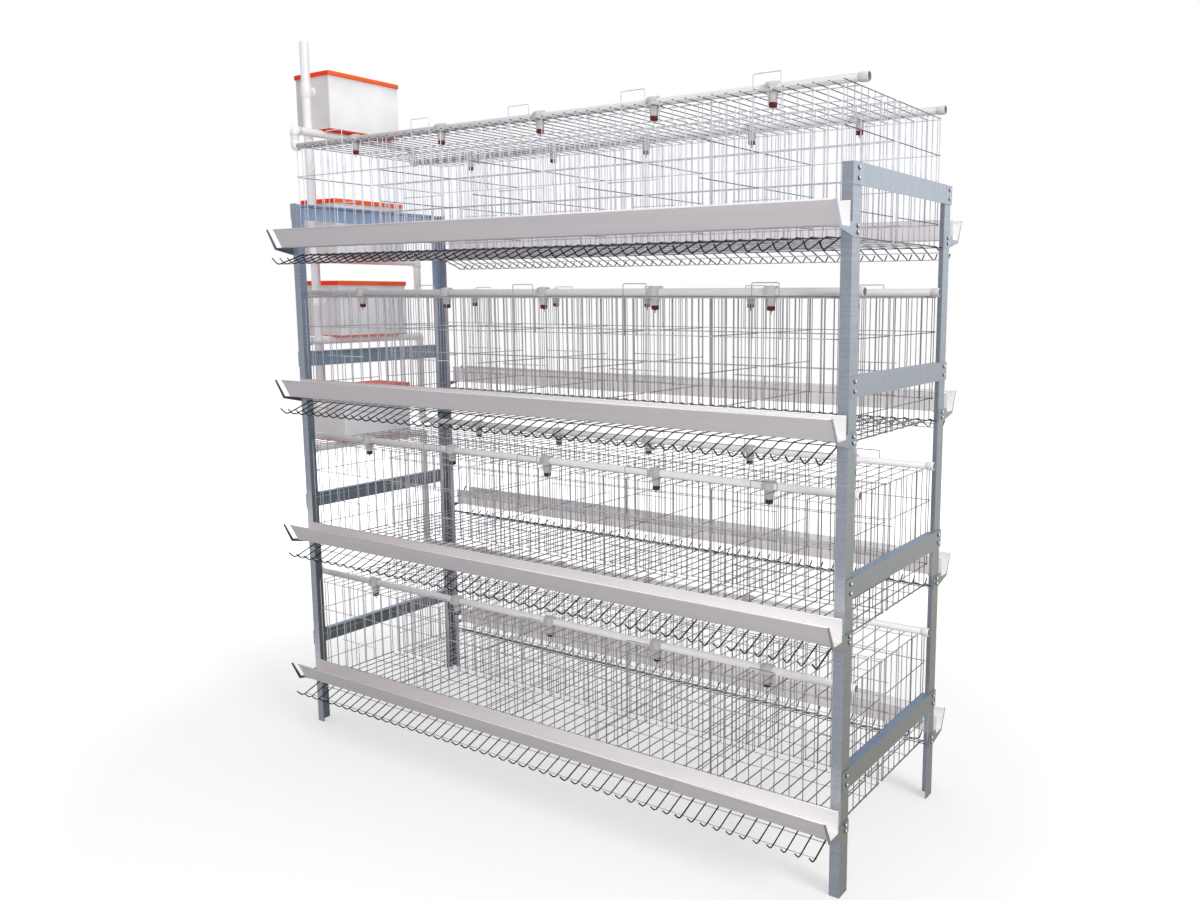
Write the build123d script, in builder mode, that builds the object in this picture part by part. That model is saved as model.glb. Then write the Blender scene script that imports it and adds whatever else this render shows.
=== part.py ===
import math
import os

from build123d import *

os.makedirs("parts", exist_ok=True)

# A four-tier, two-sided layer cage set. Millimetres, floor at Z = 0,
# X along the rows with the tanks at the far end, front at -Y.

# Frame: four angle posts and one folded beam per tier at each end.
post_height = 1900
frame_length = 2142
frame_depth = 692
post_width = 48
post_flange = 30
post_sheet = 3
tiers = 4
tier_pitch = 517
beam_height = 54
beam_sheet = 4
beam_flange = 25
beam_side_gap = 1

# Wire nets. Rises are measured up and drops down from the top of the tier's beam.
wire = 3
cells = 5
wires_per_cell = 10
modelled_every = 5
wire_overhang = 4
front_inset = 13
back_y = 13
floor_edge_y = 9
roof_rise = 196
floor_drop = 174
front_drop = 112
rail_rise = 90
end_rail_rise = 88
end_rail_drop = 110
stay_inset = 10

# Egg tray at the front of each floor: a slope and an up-turned lip.
floor_bend_inset = 3
tray_run = 103
tray_drop = 39
lip_run = 22
lip_rise = 22
tray_rail_shares = (0.35, 0.85)

# Lifting doors.
door_first_wire = 4
door_last_wire = 6
opening_first_wire = 3
opening_last_wire = 7
door_loop_rise = 232
door_rung_drop = 9
door_clearance = 0.4
door_lap = 8

# Feed troughs and the brackets under them.
trough_gap = 19
trough_width = 76
trough_floor_width = 45
trough_drop = 95
trough_height = 60
trough_sheet = 1.2
trough_bead = 6
trough_bead_drop = 4
trough_near_overhang = 6
trough_far_inset = 28
bracket_sheet = 3
bracket_hook = 12
bracket_heel_depth = 24
bracket_toe_depth = 7
bracket_heel_inset = 5
bracket_arm = 6
bracket_shelf = 42
bracket_shelf_sheet = 2
bracket_inner_gap = 2

# Drinking lines: a pipe on the roof nets, one saddle and valve per cell.
line_inset = 76
line_radius = 11
line_near_gap = 3
pipe_sides = 8
valve_sides = 6
cap_sides = 6
half_turn = 180
cap_radius = 13
cap_length = 22
saddle_length = 36
saddle_wall = 4
saddle_skirt = 4
valve_radius = 13
valve_length = 26
drip_radius = 11
drip_length = 12

# Water tanks with lids, outlet pipes and the supply riser. A tank's rise is above its drinking line.
tank_length = 190
tank_depth = 316
tank_wall = 4
tank_height = 203
tank_1_rise = 71
tank_2_rise = 138
tank_3_rise = 357
tank_4_rise = 476
lid_height = 16
lid_wall = 3
lid_lap = 4
lid_clearance = 1
outlet_radius = 14
outlet_block = 34
outlet_x_inset = 55
riser_radius = 16
riser_rise = 171
riser_inset = 90
riser_gap = 13
stub_radius = 12
stub_rise = 138

half_length = frame_length / 2
half_depth = frame_depth / 2
beam_face = half_length + beam_sheet
front_y = half_depth - front_inset
floor_bend_y = front_y - floor_bend_inset
trough_inner_y = half_depth + trough_gap
trough_outer_y = trough_inner_y + trough_width
trough_floor_y = trough_inner_y + trough_floor_width
line_y = half_depth - line_inset
near_reach = half_length + trough_near_overhang
far_reach = beam_face + tank_length + lid_lap

# The origin is under the middle of the whole set, tanks included.
mid_x = (far_reach - near_reach) / 2
mid_plane = Plane.YZ.offset(mid_x)

beam_tops = [post_height - tier * tier_pitch for tier in range(tiers)]
end_rail_x = half_length - post_flange - wire / 2
end_stay_x = end_rail_x - wire
cage_length = 2 * end_stay_x
cell_pitch = cage_length / cells
wire_pitch = cell_pitch / wires_per_cell
first_x = mid_x - end_stay_x
cell_centres = [first_x + cell_pitch * (cell + 1 / 2) for cell in range(cells)]
cell_edges = [first_x + cell_pitch * cell for cell in range(cells + 1)]
wire_count = cells * wires_per_cell // modelled_every + 1
cross_xs = [first_x + wire_pitch * modelled_every * index for index in range(wire_count)]

roof_cross_level = roof_rise - wire / 2
roof_long_level = roof_cross_level - wire
roof_underside = roof_long_level - wire / 2
floor_top = -floor_drop
floor_long_level = floor_top - wire - wire / 2
front_bottom = -front_drop
trough_top = -trough_drop
trough_floor = trough_top - trough_height
mid_net_y = (front_y + floor_edge_y) / 2
long_wire_length = cage_length + 2 * wire_overhang

# Four corner posts: angles with both legs outward.
post_x = mid_x + half_length - post_flange / 2
post_y = half_depth - post_width / 2
with BuildPart() as corner_posts:
    with BuildSketch(Plane.XY):
        with Locations((post_x, -post_y)):
            Rectangle(post_flange, post_width)
        with Locations((post_x - post_sheet, -post_y + post_sheet)):
            Rectangle(post_flange, post_width, mode=Mode.SUBTRACT)
    extrude(amount=post_height)
    mirror(about=Plane.XZ)
    mirror(about=mid_plane)
corner_posts.part.label = "corner_posts"
export_step(corner_posts.part, "parts/corner_posts.step")

# Folded end beams: a plate over both posts, a shelf between them.
shelf_span = frame_depth - 2 * post_width - 2 * beam_side_gap
plate_x = mid_x + half_length + beam_sheet / 2
shelf_x = mid_x + beam_face - beam_flange / 2
with BuildPart() as cross_beams:
    for top in beam_tops:
        with Locations((plate_x, 0, top - beam_height / 2)):
            Box(beam_sheet, frame_depth, beam_height)
        with Locations((shelf_x, 0, top - beam_sheet / 2)):
            Box(beam_flange, shelf_span, beam_sheet)
    mirror(about=mid_plane)
cross_beams.part.label = "cross_beams"
export_step(cross_beams.part, "parts/cross_beams.step")

# Trough brackets: a plate on the post web, an arm under and around the trough.
wall_lean = (trough_outer_y - trough_floor_y) / (trough_top - trough_floor)
arm_foot_y = trough_floor_y + wall_lean * trough_sheet
bracket_top = trough_floor + bracket_hook
bracket_heel = trough_floor - bracket_heel_depth
bracket_toe = trough_floor - bracket_toe_depth
bracket_points = [
    (-half_depth + post_width - bracket_inner_gap, bracket_top),
    (-trough_inner_y, bracket_top),
    (-trough_inner_y, trough_floor),
    (-trough_floor_y, trough_floor),
    (-trough_outer_y, trough_top),
    (-trough_outer_y - bracket_arm, trough_top),
    (-arm_foot_y - bracket_arm, bracket_toe),
    (-half_depth + bracket_heel_inset, bracket_heel),
    (-half_depth + post_width - bracket_inner_gap, bracket_heel),
]
bracket_planes = [
    Plane(origin=(mid_x + half_length, 0, top), x_dir=(0, 1, 0), z_dir=(1, 0, 0))
    for top in beam_tops
]
shelf_y = (trough_inner_y + trough_floor_y) / 2
shelf_depth = trough_floor_y - trough_inner_y - 2 * bracket_inner_gap
shelf_mid_x = mid_x + half_length - bracket_shelf / 2 + bracket_sheet / 2
with BuildPart() as trough_brackets:
    with BuildSketch(*bracket_planes):
        with BuildLine():
            Polyline(*bracket_points, close=True)
        make_face()
    extrude(amount=bracket_sheet)
    for top in beam_tops:
        with Locations((shelf_mid_x, -shelf_y, top + trough_floor - bracket_shelf_sheet / 2)):
            Box(bracket_shelf + bracket_sheet, shelf_depth, bracket_shelf_sheet)
    mirror(about=Plane.XZ)
    mirror(about=mid_plane)
trough_brackets.part.label = "trough_brackets"
export_step(trough_brackets.part, "parts/trough_brackets.step")

# Feed troughs: one folded sheet with a beaded outer edge.
trough_far = mid_x - half_length + trough_far_inset
trough_length = near_reach + half_length - trough_far_inset
trough_points = [
    (-trough_inner_y, trough_top),
    (-trough_inner_y, trough_floor),
    (-trough_floor_y, trough_floor),
    (-trough_outer_y, trough_top),
    (-trough_outer_y + trough_bead, trough_top),
    (-trough_outer_y + trough_bead, trough_top - trough_bead_drop),
]
trough_planes = [
    Plane(origin=(trough_far, 0, top), x_dir=(0, 1, 0), z_dir=(1, 0, 0))
    for top in beam_tops
]
with BuildPart() as feed_troughs:
    with BuildSketch(*trough_planes):
        with BuildLine():
            Polyline(*trough_points)
            offset(amount=trough_sheet, side=Side.LEFT, kind=Kind.INTERSECTION)
        make_face()
    extrude(amount=trough_length)
    mirror(about=Plane.XZ)
feed_troughs.part.label = "feed_troughs"
export_step(feed_troughs.part, "parts/feed_troughs.step")

# Floor nets: cross wires run out into the egg tray and turn up at its lip.
# The front long wire reaches the posts and carries the net.
tray_foot_y = floor_bend_y + tray_run
floor_points = [
    (-floor_edge_y, floor_top),
    (-floor_bend_y, floor_top),
    (-tray_foot_y, floor_top - tray_drop),
    (-tray_foot_y - lip_run, floor_top - tray_drop + lip_rise),
]
floor_planes = [
    Plane(origin=(x - wire / 2, 0, top), x_dir=(0, 1, 0), z_dir=(1, 0, 0))
    for top in beam_tops
    for x in cross_xs
]
with BuildPart() as floor_cross:
    with BuildSketch(*floor_planes):
        with BuildLine():
            Polyline(*floor_points)
            offset(amount=wire, side=Side.LEFT, kind=Kind.INTERSECTION)
        make_face()
    extrude(amount=wire)
    mirror(about=Plane.XZ)
tray_tilt = math.atan2(tray_drop, tray_run)
tray_rail_offset = wire + wire / 2
carrier_length = frame_length - 2 * post_sheet
floor_rails = ((floor_edge_y + stay_inset, long_wire_length), (front_y - stay_inset, carrier_length))
with BuildPart() as floor_long:
    for top in beam_tops:
        for y, length in floor_rails:
            with Locations((mid_x, -y, top + floor_long_level)):
                Box(length, wire, wire)
        for share in tray_rail_shares:
            rail_y = floor_bend_y + share * tray_run - tray_rail_offset * math.sin(tray_tilt)
            rail_z = floor_top - share * tray_drop - tray_rail_offset * math.cos(tray_tilt)
            with Locations(Location((mid_x, -rail_y, top + rail_z), (math.degrees(tray_tilt), 0, 0))):
                Box(long_wire_length, wire, wire)
    mirror(about=Plane.XZ)
floor_nets = Compound(label="floor_nets", children=[floor_cross.part, floor_long.part])
export_step(floor_nets, "parts/floor_nets.step")

# Roof nets: cross wires over long wires.
roof_ys = (floor_edge_y, mid_net_y, front_y)
with BuildPart() as roof_cross:
    for top in beam_tops:
        with Locations(*[(x, 0, top + roof_cross_level) for x in cross_xs]):
            Box(wire, 2 * front_y + wire, wire)
with BuildPart() as roof_long:
    for top in beam_tops:
        with Locations(*[(mid_x, -y, top + roof_long_level) for y in roof_ys]):
            Box(long_wire_length, wire, wire)
    mirror(about=Plane.XZ)
roof_nets = Compound(label="roof_nets", children=[roof_cross.part, roof_long.part])
export_step(roof_nets, "parts/roof_nets.step")

# Front nets: uprights beside each door, two rails outside them.
front_span = roof_underside - front_bottom + wire_overhang
front_mid = (roof_underside + front_bottom - wire_overhang) / 2
front_xs = []
for edge in cell_edges[:-1]:
    front_xs.append(edge + opening_first_wire * wire_pitch)
    front_xs.append(edge + opening_last_wire * wire_pitch)
with BuildPart() as front_uprights:
    for top in beam_tops:
        with Locations(*[(x, -front_y, top + front_mid) for x in front_xs]):
            Box(wire, wire, front_span)
    mirror(about=Plane.XZ)
with BuildPart() as front_rails:
    for top in beam_tops:
        for level in (rail_rise, front_bottom):
            with Locations((mid_x, -front_y - wire, top + level)):
                Box(long_wire_length, wire, wire)
    mirror(about=Plane.XZ)
front_nets = Compound(label="front_nets", children=[front_uprights.part, front_rails.part])
export_step(front_nets, "parts/front_nets.step")

# End nets and cell partitions: stays between floor and roof, rails across them.
stay_length = roof_rise - wire - floor_top
stay_level = (roof_rise - wire + floor_top) / 2
stay_ys = (back_y + stay_inset, front_y - 2 * stay_inset)
rail_inner_y = back_y + stay_inset - wire_overhang
rail_outer_y = front_y - wire
side_rail_y = (rail_inner_y + rail_outer_y) / 2
side_rail_length = rail_outer_y - rail_inner_y
end_rail_levels = (end_rail_rise, -end_rail_drop)
with BuildPart() as net_stays:
    for top in beam_tops:
        for edge in cell_edges:
            with Locations(*[(edge, -y, top + stay_level) for y in stay_ys]):
                Box(wire, wire, stay_length)
    mirror(about=Plane.XZ)
with BuildPart() as end_rails:
    for top in beam_tops:
        with Locations(*[(mid_x + end_rail_x, -side_rail_y, top + z) for z in end_rail_levels]):
            Box(wire, side_rail_length, wire)
    mirror(about=Plane.XZ)
    mirror(about=mid_plane)
with BuildPart() as partition_rails:
    for top in beam_tops:
        for edge in cell_edges[1:-1]:
            with Locations((edge + wire, -side_rail_y, top + end_rail_rise)):
                Box(wire, side_rail_length, wire)
    mirror(about=Plane.XZ)
partition_nets = Compound(
    label="partition_nets",
    children=[net_stays.part, end_rails.part, partition_rails.part],
)
export_step(partition_nets, "parts/partition_nets.step")

# Back nets: two, back to back along the middle.
back_xs = cross_xs[1::2]
with BuildPart() as back_stays:
    for top in beam_tops:
        with Locations(*[(x, -back_y, top + stay_level) for x in back_xs]):
            Box(wire, wire, stay_length)
    mirror(about=Plane.XZ)
with BuildPart() as back_rails:
    for top in beam_tops:
        with Locations((mid_x, -back_y + wire, top + rail_rise)):
            Box(cage_length, wire, wire)
    mirror(about=Plane.XZ)
back_nets = Compound(label="back_nets", children=[back_stays.part, back_rails.part])
export_step(back_nets, "parts/back_nets.step")

# Lifting doors: an inverted wire loop with two rungs behind it.
rung_y = front_y + wire + door_clearance
loop_y = rung_y + wire
rung_foot = front_bottom + wire
rung_span = (opening_last_wire - opening_first_wire) * wire_pitch + 2 * door_lap
loop_half = (door_last_wire - door_first_wire) * wire_pitch / 2
loop_foot = rung_foot - wire / 2
for tier, top in enumerate(beam_tops, start=1):
    for side, sign in (("front", -1), ("rear", 1)):
        for cell, x in enumerate(cell_centres, start=1):
            loop_plane = Plane(
                origin=(x, sign * (loop_y - wire / 2), top),
                x_dir=(-sign, 0, 0),
                z_dir=(0, sign, 0),
            )
            loop_points = [
                (-loop_half, loop_foot),
                (-loop_half, door_loop_rise),
                (loop_half, door_loop_rise),
                (loop_half, loop_foot),
            ]
            with BuildPart() as door_loop:
                with BuildSketch(loop_plane):
                    with BuildLine():
                        Polyline(*loop_points)
                        offset(amount=wire, side=Side.RIGHT, kind=Kind.INTERSECTION)
                    make_face()
                extrude(amount=wire)
            with BuildPart() as door_rungs:
                for level in (rung_foot, -door_rung_drop):
                    with Locations((x, sign * rung_y, top + level)):
                        Box(rung_span, wire, wire)
            door_name = f"door_t{tier}_{side}_{cell}"
            door = Compound(label=door_name, children=[door_loop.part, door_rungs.part])
            export_step(door, f"parts/{door_name}.step")

# Drinking lines lie on the roof nets.
line_level = roof_rise + line_radius
line_near_x = mid_x + half_length + line_near_gap
outlet_x = mid_x - beam_face - outlet_x_inset
line_far_x = outlet_x + outlet_block / 2
line_length = line_near_x - cap_length - line_far_x
line_planes = [
    Plane(origin=(line_far_x, -line_y, top + line_level), x_dir=(0, 1, 0), z_dir=(1, 0, 0))
    for top in beam_tops
]
with BuildPart() as water_lines:
    with BuildSketch(*line_planes):
        RegularPolygon(line_radius, pipe_sides, major_radius=False, rotation=half_turn / pipe_sides)
    extrude(amount=line_length)
    mirror(about=Plane.XZ)
water_lines.part.label = "water_lines"
export_step(water_lines.part, "parts/water_lines.step")

# End caps close the near ends.
cap_planes = [plane.offset(line_length) for plane in line_planes]
with BuildPart() as line_end_caps:
    with BuildSketch(*cap_planes):
        RegularPolygon(cap_radius, cap_sides)
    extrude(amount=cap_length)
    mirror(about=Plane.XZ)
line_end_caps.part.label = "line_end_caps"
export_step(line_end_caps.part, "parts/line_end_caps.step")

# One saddle per cell clamps over the pipe; the last one stands on the other side of its cell.
nipple_xs = [x + wire_pitch / 2 for x in cell_centres[:-1]]
nipple_xs.append(cell_centres[-1] - wire_pitch / 2)
saddle_half = line_radius + saddle_wall
saddle_points = [
    (-line_radius, -line_radius),
    (-saddle_half - saddle_skirt, -line_radius),
    (-saddle_half, saddle_half),
    (saddle_half, saddle_half),
    (saddle_half + saddle_skirt, -line_radius),
    (line_radius, -line_radius),
    (line_radius, line_radius),
    (-line_radius, line_radius),
]
saddle_planes = [
    Plane(
        origin=(x - saddle_length / 2, -line_y, top + line_level),
        x_dir=(0, 1, 0),
        z_dir=(1, 0, 0),
    )
    for top in beam_tops
    for x in nipple_xs
]
with BuildPart() as nipple_saddles:
    with BuildSketch(*saddle_planes):
        with BuildLine():
            Polyline(*saddle_points, close=True)
        make_face()
    extrude(amount=saddle_length)
    mirror(about=Plane.XZ)
nipple_saddles.part.label = "nipple_saddles"
export_step(nipple_saddles.part, "parts/nipple_saddles.step")

# Nipple valves hang through the roof net: a body and a drip cap under it.
valve_spots = [(x, -line_y) for x in nipple_xs]
body_planes = [Plane.XY.offset(top + roof_rise) for top in beam_tops]
drip_planes = [plane.offset(-valve_length) for plane in body_planes]
with BuildPart() as valve_bodies:
    with BuildSketch(*body_planes):
        with Locations(*valve_spots):
            RegularPolygon(valve_radius, valve_sides)
    extrude(amount=-valve_length)
    mirror(about=Plane.XZ)
with BuildPart() as drip_caps:
    with BuildSketch(*drip_planes):
        with Locations(*valve_spots):
            RegularPolygon(drip_radius, valve_sides)
    extrude(amount=-drip_length)
    mirror(about=Plane.XZ)
nipple_valves = Compound(
    label="nipple_valves",
    children=[valve_bodies.part, drip_caps.part],
)
export_step(nipple_valves, "parts/nipple_valves.step")

# One tank per tier stands against the far beams.
tank_x = mid_x - beam_face - tank_length / 2
tank_rises = (tank_1_rise, tank_2_rise, tank_3_rise, tank_4_rise)
tank_floors = [top + line_level + rise for top, rise in zip(beam_tops, tank_rises)]
tank_planes = [Plane.XY.offset(floor) for floor in tank_floors]
hollow_planes = [plane.offset(tank_wall) for plane in tank_planes]
with BuildPart() as water_tanks:
    with BuildSketch(*tank_planes):
        with Locations((tank_x, 0)):
            Rectangle(tank_length, tank_depth)
    extrude(amount=tank_height)
    with BuildSketch(*hollow_planes):
        with Locations((tank_x, 0)):
            Rectangle(tank_length - 2 * tank_wall, tank_depth - 2 * tank_wall)
    extrude(amount=tank_height, mode=Mode.SUBTRACT)
water_tanks.part.label = "water_tanks"
export_step(water_tanks.part, "parts/water_tanks.step")

# Lids rest on the tank rims with a skirt around them.
lid_inner_length = tank_length + 2 * lid_clearance
lid_inner_depth = tank_depth + 2 * lid_clearance
lid_skirt = lid_height - lid_wall
for tier, floor in enumerate(tank_floors, start=1):
    with BuildPart() as tank_lid:
        with BuildSketch(Plane.XY.offset(floor + tank_height - lid_skirt)):
            with Locations((tank_x, 0)):
                Rectangle(tank_length + 2 * lid_lap, tank_depth + 2 * lid_lap)
        extrude(amount=lid_height)
        with BuildSketch(Plane.XY.offset(floor + tank_height - lid_skirt)):
            with Locations((tank_x, 0)):
                Rectangle(lid_inner_length, lid_inner_depth)
        extrude(amount=lid_skirt, mode=Mode.SUBTRACT)
    tank_lid.part.label = f"tank_lid_{tier}"
    export_step(tank_lid.part, f"parts/tank_lid_{tier}.step")

# Outlet pipes: a cross pipe under each tank, elbows, and a drop to each line.
outlet_half = line_y - outlet_block / 2
outlet_parts = []
for floor, top in zip(tank_floors, beam_tops):
    cross_level = floor - outlet_radius
    drop_foot = top + line_level + outlet_block / 2
    with BuildPart() as outlet:
        with BuildSketch(Plane(origin=(outlet_x, -outlet_half, cross_level), z_dir=(0, 1, 0))):
            RegularPolygon(outlet_radius, pipe_sides, major_radius=False, rotation=half_turn / pipe_sides)
        extrude(amount=2 * outlet_half)
    with BuildPart() as drops:
        with BuildSketch(Plane.XY.offset(drop_foot)):
            with Locations((outlet_x, -line_y), (outlet_x, line_y)):
                RegularPolygon(outlet_radius, pipe_sides)
        extrude(amount=cross_level - outlet_block / 2 - drop_foot)
    with BuildPart() as elbows:
        for level in (cross_level, top + line_level):
            with Locations((outlet_x, -line_y, level), (outlet_x, line_y, level)):
                Box(outlet_block, outlet_block, outlet_block)
    outlet_parts.extend([outlet.part, drops.part, elbows.part])
tank_outlets = Compound(label="tank_outlets", children=outlet_parts)
export_step(tank_outlets, "parts/tank_outlets.step")

# Supply riser in front of the tanks, one stub into each.
riser_x = mid_x - beam_face - riser_inset
riser_y = tank_depth / 2 + riser_gap + riser_radius
riser_foot = tank_floors[-1] + stub_rise - 2 * riser_radius
riser_top = tank_floors[0] + stub_rise + riser_rise
stub_planes = [
    Plane(origin=(riser_x, -riser_y, floor + stub_rise), z_dir=(0, 1, 0)) for floor in tank_floors
]
with BuildPart() as supply_riser:
    with BuildSketch(Plane.XY.offset(riser_foot)):
        with Locations((riser_x, -riser_y)):
            RegularPolygon(riser_radius, pipe_sides)
    extrude(amount=riser_top - riser_foot)
    with BuildSketch(*stub_planes):
        RegularPolygon(stub_radius, pipe_sides)
    extrude(amount=riser_radius + riser_gap)
supply_riser.part.label = "supply_riser"
export_step(supply_riser.part, "parts/supply_riser.step")
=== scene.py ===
import math

import bmesh
import bpy
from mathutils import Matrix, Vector


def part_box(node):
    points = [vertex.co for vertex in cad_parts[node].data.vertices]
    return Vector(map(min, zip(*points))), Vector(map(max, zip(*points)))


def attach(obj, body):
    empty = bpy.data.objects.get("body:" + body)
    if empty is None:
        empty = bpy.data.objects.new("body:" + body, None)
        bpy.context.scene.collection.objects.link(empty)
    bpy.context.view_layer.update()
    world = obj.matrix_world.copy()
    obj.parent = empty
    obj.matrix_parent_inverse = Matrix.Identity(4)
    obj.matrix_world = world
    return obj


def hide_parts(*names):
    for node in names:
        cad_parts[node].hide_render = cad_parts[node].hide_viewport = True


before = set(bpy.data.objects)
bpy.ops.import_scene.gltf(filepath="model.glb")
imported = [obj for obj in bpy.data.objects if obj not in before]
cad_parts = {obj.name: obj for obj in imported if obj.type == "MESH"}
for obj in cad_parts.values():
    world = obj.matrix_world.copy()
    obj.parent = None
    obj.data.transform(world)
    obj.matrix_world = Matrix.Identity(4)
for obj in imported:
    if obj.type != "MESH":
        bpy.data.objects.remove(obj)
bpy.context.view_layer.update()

# Sizes are in millimetres and repeat those of the solids; the frame is in metres.
MM = 0.001
BODY = "cage"
SIDES = (("front", -1), ("rear", 1))

# Frame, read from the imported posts.
post_lo, post_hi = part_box("corner_posts")
MID_X = (post_lo[0] + post_hi[0]) / 2 / MM
HALF_LENGTH = (post_hi[0] - post_lo[0]) / 2 / MM
HALF_DEPTH = post_hi[1] / MM
POST_TOP = post_hi[2] / MM
POST_FLANGE = 30.0
POST_SHEET = 3.0
BEAM_SHEET = 4.0
BRACKET_SHEET = 3.0
TIERS = 4
TIER_PITCH = 517.0
TOPS = [POST_TOP - TIER_PITCH * tier for tier in range(TIERS)]
BEAM_FACE = HALF_LENGTH + BEAM_SHEET

# Nets. Levels are measured from the top of the tier's beam. WIRE is the width of the solids' square wire; the
# round wires of the scene have the radii below it.
WIRE = 3.0
WIRE_RADIUS = 1.35
FLOOR_RADIUS = 1.9
BORDER_RADIUS = 2.2
CELLS = 5
WIRES_PER_CELL = 10
STAY_X = HALF_LENGTH - POST_FLANGE - 1.5 * WIRE
CELL = 2 * STAY_X / CELLS
PITCH = CELL / WIRES_PER_CELL
FIRST_X = MID_X - STAY_X
LAST_X = MID_X + STAY_X
OVERHANG = 4.0
CELL_EDGES = [FIRST_X + CELL * cell for cell in range(CELLS + 1)]
CELL_CENTRES = [FIRST_X + CELL * (cell + 0.5) for cell in range(CELLS)]
WIRE_XS = [FIRST_X + PITCH * index for index in range(CELLS * WIRES_PER_CELL + 1)]
NET_INSET = 13.0
FRONT_Y = HALF_DEPTH - NET_INSET
BACK_Y = NET_INSET
NET_EDGE_Y = 9.0
ROOF = 196.0
ROOF_CROSS = ROOF - WIRE / 2
ROOF_LONG = ROOF_CROSS - WIRE
FLOOR = -174.0
FLOOR_CROSS = FLOOR - WIRE / 2
FLOOR_LONG = FLOOR_CROSS - WIRE
FRONT_FOOT = -112.0
RAIL = 90.0
RUNG = -9.0
WALL_FOOT = FLOOR + 0.2
WALL_HEAD = ROOF_LONG + 1.3

# Egg tray.
BEND_Y = FRONT_Y - 3.0
TRAY_RUN = 103.0
TRAY_DROP = 39.0
LIP = 22.0
TRAY_BEND = 18.0
TRAY_RAIL_SHARES = (0.35, 0.85)

# Long wires of the floor and roof, and the stays and rails of the walls.
FLOOR_LONG_YS = (NET_EDGE_Y + 10.0, 101.0, 215.0)
CARRIER_Y = FRONT_Y - 10.0
CARRIER_OVER = HALF_LENGTH - POST_SHEET - STAY_X
ROOF_LONG_YS = (NET_EDGE_Y, 90.0, 252.0, FRONT_Y)
STAYS_PER_WALL = 8
STAY_INNER_Y = BACK_Y + 10.0
STAY_OUTER_Y = FRONT_Y - 20.0
WALL_RAILS = (88.0, -12.0, -110.0)

# Doors.
DOOR_TOP = 230.5
DOOR_LOOP_HALF = PITCH - WIRE / 2
DOOR_RUNG_HALF = 90.9
DOOR_RUNG_Y = FRONT_Y + WIRE + 0.4
DOOR_LOOP_Y = DOOR_RUNG_Y + WIRE
DOOR_BEND = 5.0
DOOR_WIRES = (4, 5, 6)

# Troughs.
TROUGH_INNER_Y = HALF_DEPTH + 19.0
TROUGH_OUTER_Y = TROUGH_INNER_Y + 76.0
TROUGH_FLOOR_Y = TROUGH_INNER_Y + 45.0
TROUGH_TOP = -95.0
TROUGH_FLOOR = TROUGH_TOP - 60.0
TROUGH_SHEET = 1.2
TROUGH_FOLD = 4.0
TROUGH_HEM = 6.0
TROUGH_HEM_DROP = 4.0
TROUGH_LO = MID_X - HALF_LENGTH + 28.0
TROUGH_HI = MID_X + HALF_LENGTH + BRACKET_SHEET
BEAD_RADIUS = 2.6
HEM_RADIUS = 1.7
# Place, drop below the trough's edge and radius of each rolled edge.
TROUGH_BEADS = ((TROUGH_INNER_Y + 1.0, 0.6, HEM_RADIUS), (TROUGH_OUTER_Y - 1.5, 1.5, BEAD_RADIUS))

# Drinking lines and nipples.
LINE_Y = HALF_DEPTH - 76.0
LINE_RADIUS = 11.0
LINE_LEVEL = ROOF + LINE_RADIUS
LINE_NEAR_X = MID_X + HALF_LENGTH + 3.0
CAP_LENGTH = 22.0
SADDLE_HALF = 18.0
NIPPLE_XS = [x + PITCH / 2 for x in CELL_CENTRES[:-1]] + [CELL_CENTRES[-1] - PITCH / 2]

# Tanks, outlets and riser.
TANK_LENGTH, TANK_DEPTH, TANK_HEIGHT = 190.0, 316.0, 203.0
TANK_WALL = 4.0
TANK_ROUND = 6.0
TANK_X = MID_X - BEAM_FACE - TANK_LENGTH / 2
TANK_RISES = (71.0, 138.0, 357.0, 476.0)
TANK_FLOORS = [top + LINE_LEVEL + rise for top, rise in zip(TOPS, TANK_RISES)]
LID_LENGTH, LID_DEPTH, LID_HEIGHT = 198.0, 324.0, 16.0
LID_SKIRT = 13.0
OUTLET_RADIUS = 14.0
OUTLET_X = MID_X - BEAM_FACE - 55.0
OUTLET_BLOCK = 34.0
RISER_RADIUS = 16.0
RISER_X = MID_X - BEAM_FACE - 90.0
RISER_Y = TANK_DEPTH / 2 + 13.0 + RISER_RADIUS
STUB_RISE = 138.0
STUB_RADIUS = 12.0
RISER_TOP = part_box("supply_riser")[1][2] / MM

# Sides of the round pieces.
WIRE_SIDES = 6
HEAD_SIDES = 6
BEAD_SIDES = 10
VALVE_SIDES = 18
WASHER_SIDES = 20
OUTLET_SIDES = 24
PIPE_SIDES = 28

# A path that starts steeper than STEEP takes X as its first up direction. A turn below STRAIGHT, in radians,
# has no mitre. A round corner uses at most CORNER_SHARE of the shorter length that meets there.
STEEP = 0.9
STRAIGHT = 0.01
CORNER_SHARE = 0.45


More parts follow.
